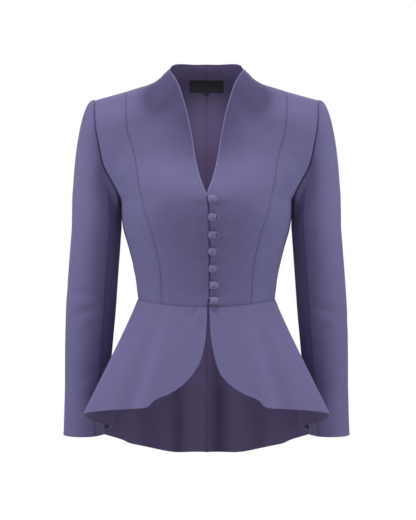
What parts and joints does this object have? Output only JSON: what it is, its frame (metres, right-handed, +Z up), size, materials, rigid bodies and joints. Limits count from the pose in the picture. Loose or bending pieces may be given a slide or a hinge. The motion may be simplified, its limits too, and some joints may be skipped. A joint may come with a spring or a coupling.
{
  "type": "peplum jacket",
  "caption": "Fitted jacket in worn form with a grown-on stand collar, V neck, button and loop front, set-in sleeves and a fluted peplum that dips at the back.",
  "frame": {"origin": "midway between the two neck points of the shoulders, at the height where the collar leaves the shoulder", "axes": "+Z up along the wearer's spine, the front faces -Y, +X is the wearer's left"},
  "size_m": [0.5368, 0.3304, 0.7521],
  "materials": {
    "suiting": "matt woven suiting, muted violet",
    "covered_button": "cloth-covered dome",
    "rouleau": "rolled cloth cord",
    "woven_label": "plain black woven tape"
  },
  "bodies": {
    "root": {"front_left": "suiting", "front_right": "suiting", "side_front_left": "suiting", "side_front_right": "suiting", "back_left": "suiting", "back_right": "suiting", "upper_sleeve_left": "suiting", "upper_sleeve_right": "suiting", "under_sleeve_left": "suiting", "under_sleeve_right": "suiting", "peplum_front_left": "suiting", "peplum_front_right": "suiting", "peplum_back_left": "suiting", "peplum_back_right": "suiting", "button_1": "covered_button", "button_2": "covered_button", "button_3": "covered_button", "button_4": "covered_button", "button_5": "covered_button", "button_6": "covered_button", "button_7": "covered_button", "loop_1": "rouleau", "loop_2": "rouleau", "loop_3": "rouleau", "loop_4": "rouleau", "loop_5": "rouleau", "loop_6": "rouleau", "loop_7": "rouleau", "neck_label": "woven_label", "size_tab": "woven_label"}
  },
  "joints": []
}
